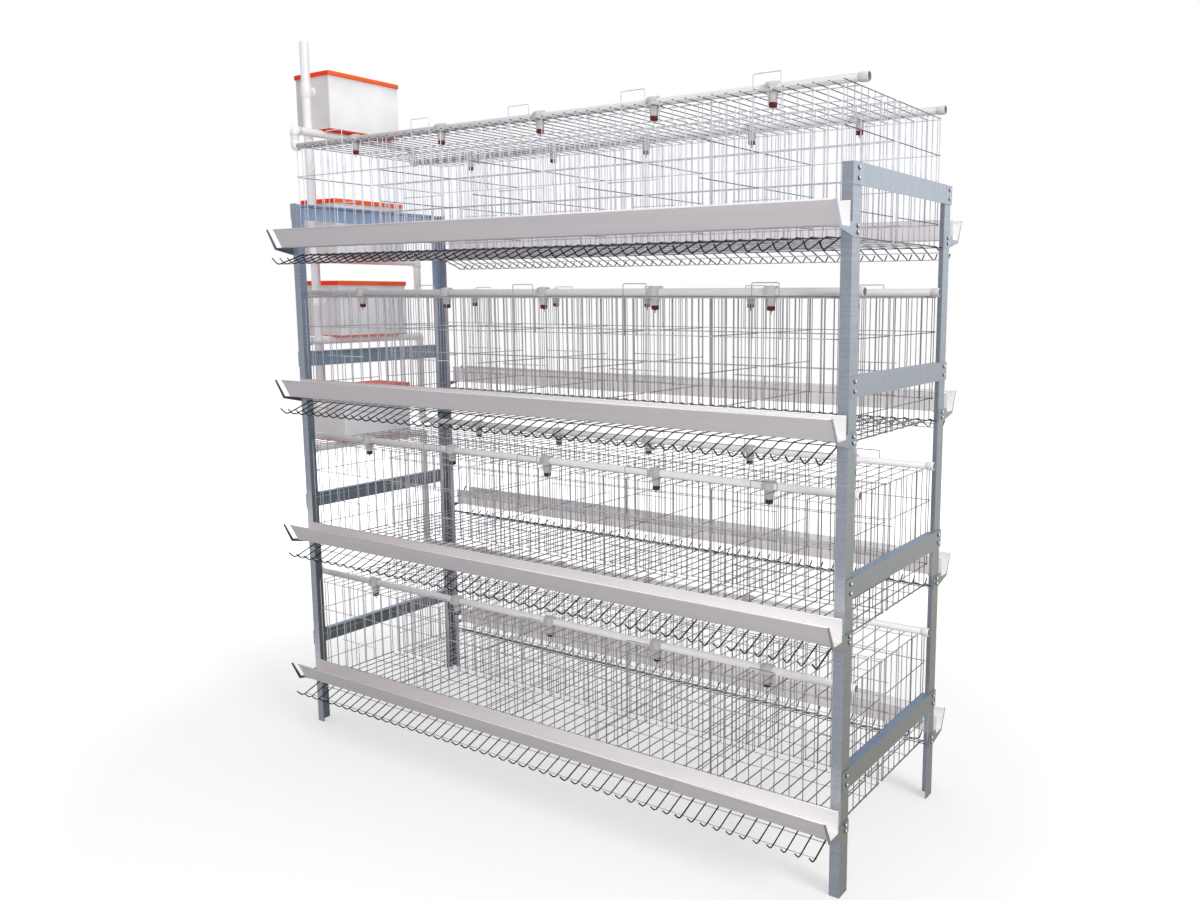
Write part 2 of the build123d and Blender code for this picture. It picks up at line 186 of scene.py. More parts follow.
class Mesh:
    """Collects rings and faces, in millimetres, for one object."""

    def __init__(self):
        self.verts = []
        self.faces = []
        self.mats = []
        self.flat = []

    def face(self, corners, mat=0, flat=False):
        self.faces.append(corners)
        self.mats.append(mat)
        self.flat.append(flat)

    def loft(self, rings, mats=0):
        """Skin a list of equal rings and close its ends; mats is one index or one per band."""
        n = len(rings[0])
        bands = len(rings) - 1
        if isinstance(mats, int):
            mats = [mats] * bands
        base = len(self.verts)
        for ring in rings:
            self.verts.extend(ring)
        for band in range(bands):
            a = base + band * n
            b = a + n
            for i in range(n):
                j = (i + 1) % n
                self.face((a + i, a + j, b + j, b + i), mats[band])
        self.face(tuple(base + i for i in reversed(range(n))), mats[0], True)
        self.face(tuple(base + bands * n + i for i in range(n)), mats[-1], True)

    def tube(self, points, radius, sides=WIRE_SIDES, mat=0):
        """A round wire or pipe along a path, mitred at its corners; mat is one index or one per stretch."""
        points = [Vector(p) for p in points]
        last = len(points) - 1
        tangents = []
        for i, p in enumerate(points):
            tangent = Vector((0, 0, 0))
            if i:
                tangent += (p - points[i - 1]).normalized()
            if i < last:
                tangent += (points[i + 1] - p).normalized()
            tangents.append(tangent.normalized())
        up = Vector((0, 0, 1)) if abs(tangents[0].z) < STEEP else Vector((1, 0, 0))
        rings = []
        for i, (p, tangent) in enumerate(zip(points, tangents)):
            side = tangent.cross(up).normalized()
            up = side.cross(tangent).normalized()
            stretch = 0.0
            bend = Vector((0, 0, 0))
            if 0 < i < last:
                back = points[i - 1] - p
                ahead = points[i + 1] - p
                turn = (-back).angle(ahead, 0.0)
                stretch = 1.0 / math.cos(turn / 2) - 1.0
                if turn > STRAIGHT:
                    bend = (back.normalized() + ahead.normalized()).normalized()
            ring = []
            for s in range(sides):
                angle = 2 * math.pi * (s + 0.5) / sides
                v = side * math.cos(angle) + up * math.sin(angle)
                v += bend * (v.dot(bend) * stretch)
                ring.append(p + v * radius)
            rings.append(ring)
        self.loft(rings, mat)

    def lathe(self, profile, origin, axis, sides, mats=0):
        """Turn (radius, height) pairs about an axis through origin."""
        o = Vector(origin)
        rings = []
        for radius, height in profile:
            ring = []
            for s in range(sides):
                angle = 2 * math.pi * s / sides
                c = radius * math.cos(angle)
                d = radius * math.sin(angle)
                place = {"z": (c, d, height), "x": (height, c, d), "y": (d, height, c)}[axis]
                ring.append(o + Vector(place))
            rings.append(ring)
        self.loft(rings, mats)

    def sheet(self, inside, outside, lo, hi, mats):
        """A folded sheet between two (y, z) profiles, drawn out along X; mats are for its outside."""
        n = len(inside)
        near = len(self.verts)
        far = near + 2 * n
        for x in (lo, hi):
            self.verts.extend((x, y, z) for y, z in inside + outside)
        for k in range(n - 1):
            for start, mat in ((near + k, 0), (near + n + k, mats[k])):
                self.face((start, start + 1, start + 1 + 2 * n, start + 2 * n), mat, True)
            for start in (near + k, far + k):
                self.face((start, start + 1, start + n + 1, start + n), 0, True)
        for k in (0, n - 1):
            self.face((near + k, near + n + k, far + n + k, far + k), 0, True)

    def make(self, name, materials, replaces=None, body=BODY):
        """Turn the collected faces into an object that rides on a body."""
        data = bpy.data.meshes.new(name)
        data.from_pydata([tuple(Vector(v) * MM) for v in self.verts], [], self.faces)
        for material in materials:
            data.materials.append(material)
        for poly, mat, flat in zip(data.polygons, self.mats, self.flat):
            poly.material_index = mat
            poly.use_smooth = not flat
        work = bmesh.new()
        work.from_mesh(data)
        bmesh.ops.recalc_face_normals(work, faces=work.faces)
        work.to_mesh(data)
        work.free()
        data.update()
        piece = bpy.data.objects.new(name, data)
        bpy.context.scene.collection.objects.link(piece)
        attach(piece, body)
        if replaces:
            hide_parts(replaces)


def round_path(points, radius, steps=3):
    """The same path with each inner corner turned into a short arc."""
    points = [Vector(p) for p in points]
    out = [points[0]]
    for a, b, c in zip(points, points[1:], points[2:]):
        u = (a - b).normalized()
        v = (c - b).normalized()
        turn = math.pi - u.angle(v)
        shorter = min((a - b).length, (c - b).length)
        cut = min(radius * math.tan(turn / 2), shorter * CORNER_SHARE)
        p = b + u * cut
        q = b + v * cut
        for k in range(steps + 1):
            t = k / steps
            out.append(p * (1 - t) ** 2 + b * (2 * t * (1 - t)) + q * t ** 2)
    out.append(points[-1])
    return out


def rounded_rect(width, depth, radius, level, steps=4):
    """A ring with round corners about the tanks' axis."""
    ring = []
    for sx, sy, start in ((1, 1, 0), (-1, 1, 90), (-1, -1, 180), (1, -1, 270)):
        for k in range(steps + 1):
            angle = math.radians(start + 90 * k / steps)
            x = TANK_X + sx * (width / 2 - radius) + radius * math.cos(angle)
            y = sy * (depth / 2 - radius) + radius * math.sin(angle)
            ring.append((x, y, level))
    return ring


# Places of a Mix node's colour sockets, whose names repeat.
MIX_FIRST, MIX_SECOND, MIX_RESULT = 6, 7, 2


class Shader:
    """A Principled material with helpers for its procedural nodes."""

    def __init__(self, name, rough, metal, specular=0.5):
        self.material = bpy.data.materials.new(name)
        self.material.use_nodes = True
        self.nodes = self.material.node_tree.nodes
        self.links = self.material.node_tree.links
        self.bsdf = self.nodes["Principled BSDF"]
        self.bsdf.inputs["Roughness"].default_value = rough
        self.bsdf.inputs["Metallic"].default_value = metal
        self.bsdf.inputs["Specular IOR Level"].default_value = specular
        self.coord = self.nodes.new("ShaderNodeTexCoord")

    def stretched(self, scale):
        node = self.nodes.new("ShaderNodeMapping")
        node.inputs["Scale"].default_value = scale
        self.links.new(self.coord.outputs["Object"], node.inputs["Vector"])
        return node.outputs["Vector"]

    def noise(self, vector, scale, detail=4.0):
        node = self.nodes.new("ShaderNodeTexNoise")
        node.inputs["Scale"].default_value = scale
        node.inputs["Detail"].default_value = detail
        self.links.new(vector, node.inputs["Vector"])
        return node.outputs["Fac"]

    def ramp(self, factor, stops):
        node = self.nodes.new("ShaderNodeValToRGB")
        elements = node.color_ramp.elements
        while len(elements) < len(stops):
            elements.new(0.5)
        for element, (place, colour) in zip(elements, stops):
            element.position = place
            element.color = (*colour, 1.0)
        self.links.new(factor, node.inputs["Fac"])
        return node.outputs["Color"]

    def span(self, factor, low, high, start=0.0, end=1.0):
        """Map the values from start to end onto those from low to high."""
        node = self.nodes.new("ShaderNodeMapRange")
        node.inputs["From Min"].default_value = start
        node.inputs["From Max"].default_value = end
        node.inputs["To Min"].default_value = low
        node.inputs["To Max"].default_value = high
        self.links.new(factor, node.inputs["Value"])
        return node.outputs["Result"]

    def multiply(self, colour, factor):
        """A colour times a number."""
        node = self.nodes.new("ShaderNodeVectorMath")
        node.operation = "SCALE"
        self.links.new(colour, node.inputs[0])
        self.links.new(factor, node.inputs["Scale"])
        return node.outputs["Vector"]

    def part(self, source, axis):
        """One axis of the Object or Normal coordinate."""
        node = self.nodes.new("ShaderNodeSeparateXYZ")
        self.links.new(self.coord.outputs[source], node.inputs["Vector"])
        return node.outputs[axis]

    def tint(self, colour, other):
        """A colour times another, part by part."""
        node = self.nodes.new("ShaderNodeVectorMath")
        node.operation = "MULTIPLY"
        self.links.new(colour, node.inputs[0])
        self.links.new(other, node.inputs[1])
        return node.outputs["Vector"]

    def blend(self, factor, first, second):
        node = self.nodes.new("ShaderNodeMix")
        node.data_type = "RGBA"
        self.links.new(factor, node.inputs["Factor"])
        self.links.new(first, node.inputs[MIX_FIRST])
        self.links.new(second, node.inputs[MIX_SECOND])
        return node.outputs[MIX_RESULT]

    def height(self, top):
        """0 on the floor and 1 at a height in millimetres."""
        return self.span(self.part("Object", "Z"), 0.0, 1.0, 0.0, top * MM)

    def along(self):
        """0 at the far end of the row and 1 at the near end."""
        return self.span(self.part("Object", "X"), 0.0, 1.0, -HALF_LENGTH * MM, HALF_LENGTH * MM)

    def distance(self):
        """Distance from the origin, in metres."""
        node = self.nodes.new("ShaderNodeVectorMath")
        node.operation = "LENGTH"
        self.links.new(self.coord.outputs["Object"], node.inputs[0])
        return node.outputs["Value"]

    def colour(self, socket):
        self.links.new(socket, self.bsdf.inputs["Base Color"])

    def roughness(self, socket):
        self.links.new(socket, self.bsdf.inputs["Roughness"])

    def bump(self, socket, strength, distance=0.001):
        node = self.nodes.new("ShaderNodeBump")
        node.inputs["Strength"].default_value = strength
        node.inputs["Distance"].default_value = distance
        self.links.new(socket, node.inputs["Height"])
        self.links.new(node.outputs["Normal"], self.bsdf.inputs["Normal"])


# Noise mostly stays within NOISE_SPAN; the rolling marks use a wider one.
NOISE_SPAN = (0.3, 0.7)
MARK_SPAN = (0.25, 0.75)
ROUGH_WANDER = 0.07

# Scales of the noise by axis: even, and with the fine marks across the length of the posts or the beams.
EVEN = (1, 1, 1)
POST_GRAIN, BEAM_GRAIN = (2, 2, 240), (2, 240, 2)
TROUGH_GRAIN = (0.4, 14, 14)
# The bump of a speckled piece is this many times finer than its colour.
BUMP_FINER = 6

BLACK, WHITE = (0.0, 0.0, 0.0), (1.0, 1.0, 1.0)
ZINC_SHADED, ZINC_HALF_LIT, ZINC_LIT = (0.180, 0.184, 0.164), (0.257, 0.280, 0.288), (0.46, 0.52, 0.60)
SIDE_PLAIN, SIDE_BOUNCE_LIT = (0.266, 0.288, 0.344), (0.448, 0.472, 0.512)
TOP_LOW, TOP_HIGH = (0.19, 0.27, 0.38), (0.42, 0.48, 0.58)

# Stops by height, as shares of the posts' height. They are painted light: lighter and bluer towards the top,
# darker towards the floor, and on upward faces a bluer painted sky reflection.
ZINC_LIGHT_STOPS = [(0.30, ZINC_SHADED), (0.58, ZINC_HALF_LIT), (0.95, ZINC_LIT)]
TOP_STOPS = [(0.30, TOP_LOW), (0.95, TOP_HIGH)]

# Stops by the way a face looks: up, and along Y, with the X part of its normal mapped from 0 to 1. Upward
# faces get the painted sky reflection, and the faces along Y their painted side light.
UPWARD_STOPS = [(0.5, BLACK), (0.95, WHITE)]
SIDEWAYS_STOPS = [(0.10, BLACK), (0.25, WHITE), (0.75, WHITE), (0.90, BLACK)]

# The posts' sides that look along Y have painted light of their own, brighter by the two lower troughs as a
# painted bounce off the troughs. Lifts are from the trough's edge, in millimetres.
SIDE_LIFTS = ((-60, SIDE_PLAIN), (-50, SIDE_BOUNCE_LIT), (15, SIDE_BOUNCE_LIT), (140, SIDE_PLAIN))
POST_SIDES = [(0.0, SIDE_PLAIN)]
for top in (TOPS[3], TOPS[2]):
    for lift, shade in SIDE_LIFTS:
        POST_SIDES.append(((top + TROUGH_TOP + lift) / POST_TOP, shade))


def galvanised(name, grain, far, sides=None):
    """Zinc-coated sheet with rolling marks across its grain and a faint spangle, and painted light and shade.

    It is painted lighter and bluer towards the top as painted light, and its tone is multiplied by far at the
    far end as painted shade. Upward faces take a bluer painted sky reflection. The faces that look along Y
    can have stops of their own, by height, for their painted side light and bounce.
    """
    shader = Shader(name, rough=0.42, metal=0.35)
    rise = shader.height(POST_TOP)
    # Painted light: the zinc is lighter and bluer towards the top and darker towards the floor.
    tone = shader.ramp(rise, ZINC_LIGHT_STOPS)
    # Painted shade: the tone is darker at the far end of the row, by the factors in far.
    tone = shader.tint(tone, shader.ramp(shader.along(), [(0.0, far), (1.0, WHITE)]))
    # Painted light on the faces that look along Y: they take the sides' stops, with the painted bounce by the
    # troughs.
    if sides:
        turned = shader.span(shader.part("Normal", "X"), 0.0, 1.0, -1.0, 1.0)
        facing = shader.ramp(turned, SIDEWAYS_STOPS)
        tone = shader.blend(facing, tone, shader.ramp(rise, sides))
    # Painted sky reflection: upward faces take a bluer tone, lighter towards the top.
    upward = shader.ramp(shader.part("Normal", "Z"), UPWARD_STOPS)
    tone = shader.blend(upward, tone, shader.ramp(rise, TOP_STOPS))
    marks = shader.noise(shader.stretched(grain), scale=1.0, detail=6.0)
    spangle = shader.noise(shader.stretched(EVEN), scale=140.0, detail=2.0)
    marked = shader.multiply(tone, shader.span(marks, 0.86, 1.14, *MARK_SPAN))
    shader.colour(shader.multiply(marked, shader.span(spangle, 0.94, 1.06, *NOISE_SPAN)))
    shader.roughness(shader.span(marks, 0.34, 0.52))
    shader.bump(marks, strength=0.05)
    return shader.material


def graded(name, low, high, change=(0.75, 0.83), metal=0.0, specular=0.5, far=(1.0, 1.0), wander=0.16):
    """Drawn wire or plastic, whose tone goes over from low to high between two shares of the height, as
    painted light and shade by tier.

    At the far end of the row the two tones are multiplied by the two factors in far.
    """
    shader = Shader(name, rough=0.42, metal=metal, specular=specular)
    along = shader.along()
    cloud = shader.noise(shader.stretched(EVEN), scale=40.0)
    rows = []
    for tone, gain in zip((low, high), far):
        far_tone = tuple(part * gain for part in tone)
        rows.append(shader.ramp(along, [(0.0, far_tone), (1.0, tone)]))
    raised = shader.ramp(shader.height(TOPS[0] + ROOF), [(change[0], BLACK), (change[1], WHITE)])
    tone = shader.blend(raised, *rows)
    shader.colour(shader.multiply(tone, shader.span(cloud, 1.0 - wander, 1.0 + wander, *NOISE_SPAN)))
    shader.roughness(shader.span(cloud, 0.34, 0.50))
    return shader.material


def moulded(name, shaded_tone, lit_tone):
    """Moulded plastic with a soft mottle, painted lighter on the faces towards the near end as painted light
    from that side.
    """
    shader = Shader(name, rough=0.50, metal=0.0, specular=0.10)
    mottle = shader.noise(shader.stretched(EVEN), scale=8.0)
    # Painted light: faces that look towards the near end take the lighter tone.
    tone = shader.ramp(shader.part("Normal", "X"), [(0.3, shaded_tone), (0.9, lit_tone)])
    shader.colour(shader.multiply(tone, shader.span(mottle, 0.92, 1.06, *NOISE_SPAN)))
    shader.roughness(shader.span(mottle, 0.44, 0.58))
    shader.bump(shader.noise(shader.stretched(EVEN), scale=48.0, detail=2.0), strength=0.06)
    return shader.material


def rolled(name, far, near):
    """Smooth trough sheet with faint lengthwise streaks, in one tone at each end; a darker far end is painted
    shade.
    """
    shader = Shader(name, rough=0.42, metal=0.08)
    # Painted shade: the tone is darker towards the far end.
    tone = shader.ramp(shader.along(), [(0.1, far), (0.95, near)])
    streaks = shader.noise(shader.stretched(TROUGH_GRAIN), scale=3.0)
    shader.colour(shader.multiply(tone, shader.span(streaks, 0.96, 1.04, *NOISE_SPAN)))
    shader.roughness(shader.span(streaks, 0.35, 0.49))
    shader.bump(streaks, strength=0.03)
    return shader.material


def speckled(name, dark, light, rough, metal, scale, stretch=EVEN, bump_by=0.06):
    """Base colour and roughness that wander between two tones."""
    shader = Shader(name, rough, metal)
    vector = shader.stretched(stretch)
    wander = shader.noise(vector, scale)
    shader.colour(shader.ramp(wander, list(zip(NOISE_SPAN, (dark, light)))))
    shader.roughness(shader.span(wander, rough - ROUGH_WANDER, rough + ROUGH_WANDER))
    if bump_by:
        shader.bump(shader.noise(vector, scale * BUMP_FINER, detail=2.0), bump_by)
    return shader.material


# Sheet steel.
# The far factors paint shade on the far end of the frame; the far brackets are painted nearly black.
post_steel = galvanised("galvanised_frame", POST_GRAIN, (0.62, 0.70, 0.84), POST_SIDES)
beam_steel = galvanised("galvanised_beam", BEAM_GRAIN, (0.70, 0.85, 1.0))
bracket_steel = galvanised("galvanised_bracket", BEAM_GRAIN, (0.26, 0.28, 0.30))
# Troughs: lit and shaded copies of one sheet, the outside darker as painted shade, the inside and cage side
# lighter as painted light; the far end is darker as painted shade, the inside most.
trough_inside_lit = rolled("trough_inside", (0.60, 0.565, 0.585), (0.86, 0.84, 0.85))
trough_cage_side_lit = rolled("trough_cage_side_lit", (0.92, 0.86, 0.87), (0.93, 0.88, 0.89))
trough_outside_shaded = rolled("trough_sheet", (0.58, 0.54, 0.57), (0.64, 0.60, 0.63))
# The rolled edges are painted lighter than the trough sheet, as a painted highlight line.
bead_painted_highlight = speckled(
    "trough_bead", (0.76, 0.73, 0.75), (0.86, 0.83, 0.85),
    rough=0.25, metal=0.20, scale=5.0, stretch=(0.5, 6, 6), bump_by=0.0,
)

# Wire and bolts.
# Zinc wire, painted by tier: the uprights and long wires lighter in the top tier as painted light, the cross
# wires a darker shaded copy, near black in the top tier as painted shade. The tray wires are painted near
# black as painted shade.
wire_upright = graded("zinc_wire", (0.23, 0.225, 0.245), (0.55, 0.56, 0.64), metal=0.35, far=(2.3, 1.4))
wire_cross = graded(
    "zinc_wire_cross", (0.16, 0.16, 0.185), (0.055, 0.055, 0.072),
    change=(0.86, 0.91), metal=0.25, specular=0.4, far=(2.0, 1.2),
)
wire_long = graded("zinc_wire_long", (0.42, 0.42, 0.44), (0.53, 0.51, 0.55), metal=0.35, far=(1.4, 1.2))
wire_tray = graded("zinc_wire_tray", (0.009, 0.009, 0.011), (0.016, 0.016, 0.019), specular=0.10)
# Zinc bolt heads painted bright as a painted highlight; the washers are painted near black as a painted
# shadow.
bolt_steel = speckled(
    "bolt_zinc", (0.62, 0.63, 0.66), (0.80, 0.81, 0.84), rough=0.24, metal=0.50, scale=90.0, bump_by=0.1
)
washer_painted_shadow = speckled(
    "washer_painted_shadow", (0.018, 0.018, 0.020), (0.045, 0.045, 0.050),
    rough=0.45, metal=0.20, scale=90.0, bump_by=0.1,
)

# Pipes, tanks and nipples.
# The line pipes and their caps are painted whiter in the lower tiers and greyer higher up, as painted light
# and shade.
pipe_white = graded(
    "white_pipe", (0.90, 0.875, 0.885), (0.69, 0.665, 0.675), change=(0.55, 0.70), wander=0.03
)
riser_white = speckled(
    "riser_pipe", (0.86, 0.85, 0.86), (0.92, 0.91, 0.92),
    rough=0.30, metal=0.0, scale=5.0, stretch=(4, 4, 0.4), bump_by=0.03,
)
# The caps' dark end faces: painted shade in place of the shaded hollow of an open pipe end.
pipe_end_shade = speckled(
    "line_end_shade", (0.10, 0.10, 0.105), (0.18, 0.18, 0.185), rough=0.55, metal=0.0, scale=120.0
)
# Tanks and lids are painted lighter on the faces towards the near end, the lids orange there, as painted
# light.
tank_white = moulded("tank_white", (0.68, 0.65, 0.665), (0.88, 0.88, 0.90))
lid_red = moulded("lid_red", (0.84, 0.055, 0.014), (0.95, 0.155, 0.034))
saddle_grey = speckled(
    "nipple_saddle", (0.50, 0.48, 0.48), (0.60, 0.58, 0.58), rough=0.45, metal=0.0, scale=60.0
)
body_grey = speckled(
    "nipple_body", (0.47, 0.44, 0.43), (0.57, 0.54, 0.53), rough=0.45, metal=0.0, scale=60.0
)
# The drip caps are painted darker and browner in the lower tiers as painted shade.
cap_red = graded(
    "nipple_cap", (0.040, 0.014, 0.013), (0.095, 0.0045, 0.0055),
    change=(0.55, 0.68), specular=0.3, wander=0.3,
)
pin_steel = speckled(
    "nipple_pin", (0.34, 0.35, 0.36), (0.52, 0.53, 0.54), rough=0.24, metal=0.85, scale=120.0, bump_by=0.0
)
WIRES = [wire_upright, wire_cross, wire_long, wire_tray]
UPRIGHT, CROSS, LONG, TRAY = range(len(WIRES))

BEVEL_SEGMENTS = 2
BEVEL_ANGLE = math.radians(40)


def dress(node, material, edge):
    """Give a carried-over sheet node its zinc material, with its painted light and shade, and soften its
    folds.
    """
    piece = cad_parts[node]
    piece.data.materials.clear()
    piece.data.materials.append(material)
    bevel = piece.modifiers.new("edge", "BEVEL")
    bevel.width = edge * MM
    bevel.segments = BEVEL_SEGMENTS
    bevel.limit_method = "ANGLE"
    bevel.angle_limit = BEVEL_ANGLE


dress("corner_posts", post_steel, edge=0.8)
dress("cross_beams", beam_steel, edge=1.0)
dress("trough_brackets", bracket_steel, edge=0.5)


def each_row():
    """The beam top and the side of every row of cells."""
    for top in TOPS:
        for _, side in SIDES:
            yield top, side


def long_wire(net, y, z, over=OVERHANG, mat=LONG):
    """A wire along the row that passes the end nets by over."""
    net.tube([(FIRST_X - over, y, z), (LAST_X + over, y, z)], WIRE_RADIUS, mat=mat)


def border(index):
    """Radius of a floor wire: those on a cell's border are thicker."""
    return BORDER_RADIUS if index % WIRES_PER_CELL == 0 else FLOOR_RADIUS


# Floor nets run out into the egg tray and turn up at its lip.
floor_net = Mesh()
for top, side in each_row():
    z = top + FLOOR_CROSS
    foot_y = BEND_Y + TRAY_RUN
    for index, x in enumerate(WIRE_XS):
        bent = [
            (x, side * NET_EDGE_Y, z),
            (x, side * BEND_Y, z),
            (x, side * foot_y, z - TRAY_DROP),
            (x, side * (foot_y + LIP), z - TRAY_DROP + LIP),
        ]
        path = round_path(bent, TRAY_BEND)
        floor_net.tube(path, border(index), mat=[CROSS] + [TRAY] * (len(path) - 2))
    for y in FLOOR_LONG_YS:
        long_wire(floor_net, side * y, top + FLOOR_LONG)
    long_wire(floor_net, side * CARRIER_Y, top + FLOOR_LONG, CARRIER_OVER, TRAY)
    for share in TRAY_RAIL_SHARES:
        long_wire(floor_net, side * (BEND_Y + TRAY_RUN * share - WIRE / 2), z - TRAY_DROP * share - WIRE)
floor_net.make("floor_net_wires", WIRES, "floor_nets")

# Roof nets: cross wires over long wires.
roof_net = Mesh()
for top, side in each_row():
    z = top + ROOF_CROSS
    inner, outer = side * (NET_EDGE_Y - WIRE / 2), side * (FRONT_Y + WIRE / 2)
    for x in WIRE_XS:
        roof_net.tube([(x, inner, z), (x, outer, z)], WIRE_RADIUS, mat=CROSS)
    for y in ROOF_LONG_YS:
        long_wire(roof_net, side * y, top + ROOF_LONG)
roof_net.make("roof_net_wires", WIRES, "roof_nets")

# Front nets: the wires over a door stop at the rail.
front_net = Mesh()
for top, side in each_row():
    y = side * FRONT_Y
    head = top + ROOF_LONG - WIRE / 2
    for index, x in enumerate(WIRE_XS):
        foot = RAIL if index % WIRES_PER_CELL in DOOR_WIRES else FRONT_FOOT
        front_net.tube([(x, y, top + foot - OVERHANG), (x, y, head)], WIRE_RADIUS, mat=UPRIGHT)
    for level in (RAIL, FRONT_FOOT):
        long_wire(front_net, side * (FRONT_Y + WIRE), top + level)
front_net.make("front_net_wires", WIRES, "front_nets")

# End nets and partitions: stays with rails across them.
wall_net = Mesh()
for top, side in each_row():
    foot, head = top + WALL_FOOT, top + WALL_HEAD
    inner, outer = side * (STAY_INNER_Y - OVERHANG), side * (FRONT_Y - WIRE)
    for cell, x in enumerate(CELL_EDGES):
        for stay in range(STAYS_PER_WALL):
            share = stay / (STAYS_PER_WALL - 1)
            y = side * (STAY_INNER_Y + (STAY_OUTER_Y - STAY_INNER_Y) * share)
            wall_net.tube([(x, y, foot), (x, y, head)], WIRE_RADIUS, mat=UPRIGHT)
        rail_x = x - WIRE if cell == 0 else x + WIRE
        for level in WALL_RAILS:
            z = top + level
            wall_net.tube([(rail_x, inner, z), (rail_x, outer, z)], WIRE_RADIUS, mat=CROSS)
wall_net.make("partition_net_wires", WIRES, "partition_nets")

# Back nets along the middle.
back_net = Mesh()
for top, side in each_row():
    y = side * BACK_Y
    foot, head = top + WALL_FOOT, top + WALL_HEAD
    for x in WIRE_XS:
        back_net.tube([(x, y, foot), (x, y, head)], WIRE_RADIUS, mat=UPRIGHT)
    for level in (RAIL, RUNG):
        long_wire(back_net, side * (BACK_Y - WIRE), top + level, over=0.0)
back_net.make("back_net_wires", WIRES, "back_nets")

# Lifting doors: a loop with a middle wire and two rungs.
for tier, top in enumerate(TOPS, start=1):
    foot, head = top + FRONT_FOOT + WIRE / 2, top + DOOR_TOP
    for side_name, side in SIDES:
        loop_y, rung_y = side * DOOR_LOOP_Y, side * DOOR_RUNG_Y
        for cell, x in enumerate(CELL_CENTRES, start=1):
            name = f"door_t{tier}_{side_name}_{cell}"
            left, right = x - DOOR_LOOP_HALF, x + DOOR_LOOP_HALF
            loop = [(left, loop_y, foot), (left, loop_y, head), (right, loop_y, head), (right, loop_y, foot)]
            door = Mesh()
            door.tube(round_path(loop, DOOR_BEND), WIRE_RADIUS, mat=UPRIGHT)
            door.tube([(x, loop_y, foot), (x, loop_y, top + RUNG + WIRE / 2)], WIRE_RADIUS, mat=UPRIGHT)
            for level in (FRONT_FOOT + WIRE, RUNG):
                z = top + level
                rung = [(x - DOOR_RUNG_HALF, rung_y, z), (x + DOOR_RUNG_HALF, rung_y, z)]
                door.tube(rung, WIRE_RADIUS, mat=LONG)
            door.make(name + "_wires", WIRES, name, name)

# Troughs: one folded sheet each, palest on the side that faces the cage. Its inside, outside and cage-facing
# side are lit and shaded copies of one sheet: the outside is darker as painted shade, the cage side palest as
# painted light.
INSIDE, OUTSIDE, CAGE_SIDE = range(3)
trough_path = [
    (0, TROUGH_INNER_Y, TROUGH_TOP),
    (0, TROUGH_INNER_Y, TROUGH_FLOOR),
    (0, TROUGH_FLOOR_Y, TROUGH_FLOOR),
    (0, TROUGH_OUTER_Y, TROUGH_TOP),
    (0, TROUGH_OUTER_Y - TROUGH_HEM, TROUGH_TOP),
    (0, TROUGH_OUTER_Y - TROUGH_HEM, TROUGH_TOP - TROUGH_HEM_DROP),
]
fold = [(p.y, p.z) for p in round_path(trough_path, TROUGH_FOLD)]
skin = []
for k, (y, z) in enumerate(fold):
    ahead = fold[min(k + 1, len(fold) - 1)]
    back = fold[max(k - 1, 0)]
    run, rise = ahead[0] - back[0], ahead[1] - back[1]
    step = TROUGH_SHEET / math.hypot(run, rise)
    skin.append((y - rise * step, z + run * step))
trough_mats = []
for a, b in zip(fold, fold[1:]):
    if a[0] < TROUGH_INNER_Y + TROUGH_SHEET:
        trough_mats.append(CAGE_SIDE)
    elif b[0] > a[0]:
        trough_mats.append(OUTSIDE)
    else:
        trough_mats.append(INSIDE)
troughs = Mesh()
for top, side in each_row():
    inside, outside = [[(side * y, top + z) for y, z in ring] for ring in (skin, fold)]
    troughs.sheet(inside, outside, TROUGH_LO, TROUGH_HI, trough_mats)
troughs.make("trough_sheets", [trough_inside_lit, trough_outside_shaded, trough_cage_side_lit], "feed_troughs")

# Rolled edges of the troughs, lighter and glossier than the sheet as a painted highlight along each edge.
beads = Mesh()
for top, side in each_row():
    for y, drop, radius in TROUGH_BEADS:
        z = top + TROUGH_TOP - drop
        beads.tube([(TROUGH_LO, side * y, z), (TROUGH_HI, side * y, z)], radius, BEAD_SIDES)
beads.make("trough_beads", [bead_painted_highlight])

# Drinking lines and the end caps, whose dark end faces are painted shade standing for the hollow of the open
# pipe end. Profiles are radius and place along the line.
CAP_RING, CAP_SHADED_END = range(2)
line_profile = [(LINE_RADIUS, OUTLET_X + OUTLET_BLOCK / 2), (LINE_RADIUS, LINE_NEAR_X - CAP_LENGTH)]
cap_profile = [
    (10.9, -CAP_LENGTH), (12.4, -CAP_LENGTH), (13.0, -21.0), (13.0, -2.0), (12.4, -0.4), (11.4, 0.0),
    (10.6, 0.0), (10.3, -3.0), (9.0, -3.2), (3.0, -2.6),
]
cap_mats = [CAP_RING] * 6 + [CAP_SHADED_END] * 3
lines = Mesh()
caps = Mesh()
for top, side in each_row():
    y, z = side * LINE_Y, top + LINE_LEVEL
    lines.lathe(line_profile, (0, y, z), "x", PIPE_SIDES)
    caps.lathe(cap_profile, (LINE_NEAR_X, y, z), "x", PIPE_SIDES, cap_mats)
lines.make("water_line_pipes", [pipe_white], "water_lines")
caps.make("line_caps", [pipe_white, pipe_end_shade], "line_end_caps")

# Saddles clip over the pipe; a nipple valve hangs under each.
SADDLE_OUTER, SADDLE_INNER = 16.5, 11.1
SADDLE_STEPS = 12
SADDLE_LOW = -20.0
SADDLE_FOOT, SADDLE_SHOULDER = -10.8, -7.0
SADDLE_FOOT_HALF, SADDLE_SHOULDER_HALF = 19.0, 18.2
VALVE_BODY, VALVE_CAP, VALVE_PIN = range(3)


